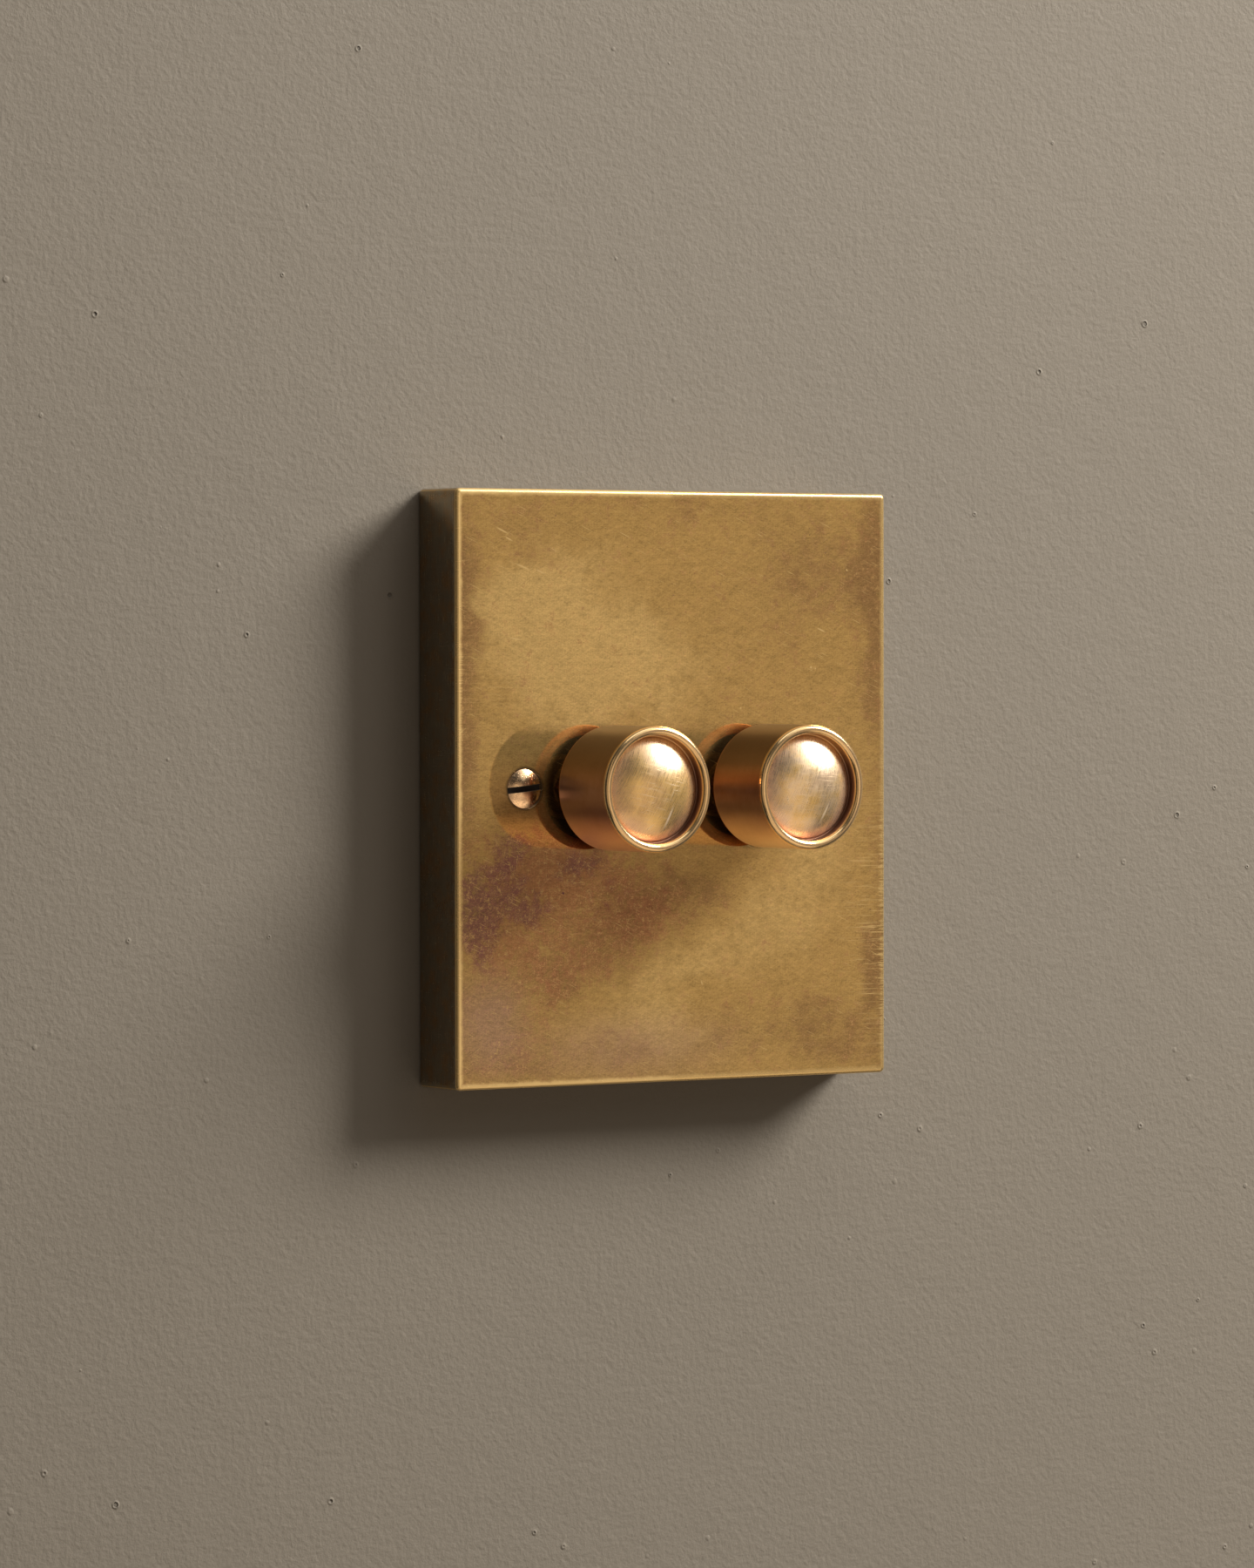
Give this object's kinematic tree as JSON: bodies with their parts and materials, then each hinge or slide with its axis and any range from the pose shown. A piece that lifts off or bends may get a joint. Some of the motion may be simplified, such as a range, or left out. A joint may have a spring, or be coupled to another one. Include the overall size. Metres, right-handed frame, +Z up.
{
  "type": "dimmer switch",
  "caption": "Push-and-turn dimmer switch on a deep aged brass plate, with turned brass knobs side by side and dimmer modules behind.",
  "frame": {"origin": "middle of the plate's back, in the wall plane, between the two fixing screws", "axes": "+X right as seen from the front, +Y into the wall, +Z up; the knobs point along -Y"},
  "size_m": [0.087, 0.0555, 0.1],
  "materials": {
    "plate_brass": "aged brass, brushed and half polished",
    "knob_brass": "aged turned brass, polished",
    "screw_brass": "tarnished brass",
    "bush_brass": "machined brass",
    "terminal_brass": "machined brass",
    "spindle_steel": "ground steel",
    "plated_steel": "zinc plated",
    "heat_plate_aluminium": "rolled, satin",
    "case_moulding": "moulded, fine texture",
    "pot_moulding": "moulded",
    "nylon": "natural nylon",
    "phenolic": "laminated sheet",
    "board": "solder resist",
    "copper_winding": "enamelled winding",
    "capacitor_moulding": "moulded",
    "epoxy": "moulded epoxy"
  },
  "bodies": {
    "base": {"face_plate": "plate_brass", "fixing_screws": "screw_brass", "earth_terminal": "terminal_brass", "earth_screw": "plated_steel", "left_bush": "bush_brass", "left_washer": "plated_steel", "left_nut": "bush_brass", "left_heat_plate": "heat_plate_aluminium", "left_case": "case_moulding", "left_case_screws": "plated_steel", "left_pot_body": "pot_moulding", "left_pot_wafer": "phenolic", "left_switch_body": "pot_moulding", "left_return_spring": "plated_steel", "left_circuit_board": "board", "left_choke": "copper_winding", "left_capacitor": "capacitor_moulding", "left_triac": "epoxy", "left_terminals": "terminal_brass", "left_terminal_screws": "plated_steel", "right_bush": "bush_brass", "right_washer": "plated_steel", "right_nut": "bush_brass", "right_heat_plate": "heat_plate_aluminium", "right_case": "case_moulding", "right_case_screws": "plated_steel", "right_pot_body": "pot_moulding", "right_pot_wafer": "phenolic", "right_switch_body": "pot_moulding", "right_return_spring": "plated_steel", "right_circuit_board": "board", "right_choke": "copper_winding", "right_capacitor": "capacitor_moulding", "right_triac": "epoxy", "right_terminals": "terminal_brass", "right_terminal_screws": "plated_steel"},
    "left_plunger": {"left_switch_plunger": "nylon"},
    "left_dial": {"left_knob": "knob_brass", "left_knob_insert": "nylon", "left_spindle": "spindle_steel"},
    "left_rotor": {"left_pot_rotor": "nylon"},
    "right_plunger": {"right_switch_plunger": "nylon"},
    "right_dial": {"right_knob": "knob_brass", "right_knob_insert": "nylon", "right_spindle": "spindle_steel"},
    "right_rotor": {"right_pot_rotor": "nylon"}
  },
  "joints": [
    {"name": "left_push", "type": "slide", "parent": "base", "child": "left_plunger", "axis": [0, 1, 0], "range_m": [0, 0.0015], "stiffness_N_per_m": 1500, "springref_m": -0.004, "deforming": ["left_return_spring"]},
    {"name": "left_turn", "type": "hinge", "parent": "left_plunger", "child": "left_dial", "pos_m": [-0.0155, 0, 0], "axis": [0, 1, 0], "range_deg": [-135, 135]},
    {"name": "left_rotor_turn", "type": "hinge", "parent": "base", "child": "left_rotor", "pos_m": [-0.0155, 0, 0], "axis": [0, 1, 0], "range_deg": [-135, 135]},
    {"name": "right_push", "type": "slide", "parent": "base", "child": "right_plunger", "axis": [0, 1, 0], "range_m": [0, 0.0015], "stiffness_N_per_m": 1500, "springref_m": -0.004, "deforming": ["right_return_spring"]},
    {"name": "right_turn", "type": "hinge", "parent": "right_plunger", "child": "right_dial", "pos_m": [0.0155, 0, 0], "axis": [0, 1, 0], "range_deg": [-135, 135]},
    {"name": "right_rotor_turn", "type": "hinge", "parent": "base", "child": "right_rotor", "pos_m": [0.0155, 0, 0], "axis": [0, 1, 0], "range_deg": [-135, 135]}
  ],
  "couplings": [
    {"joint": "left_rotor_turn", "follows": "left_turn", "ratio": 1},
    {"joint": "right_rotor_turn", "follows": "right_turn", "ratio": 1}
  ]
}
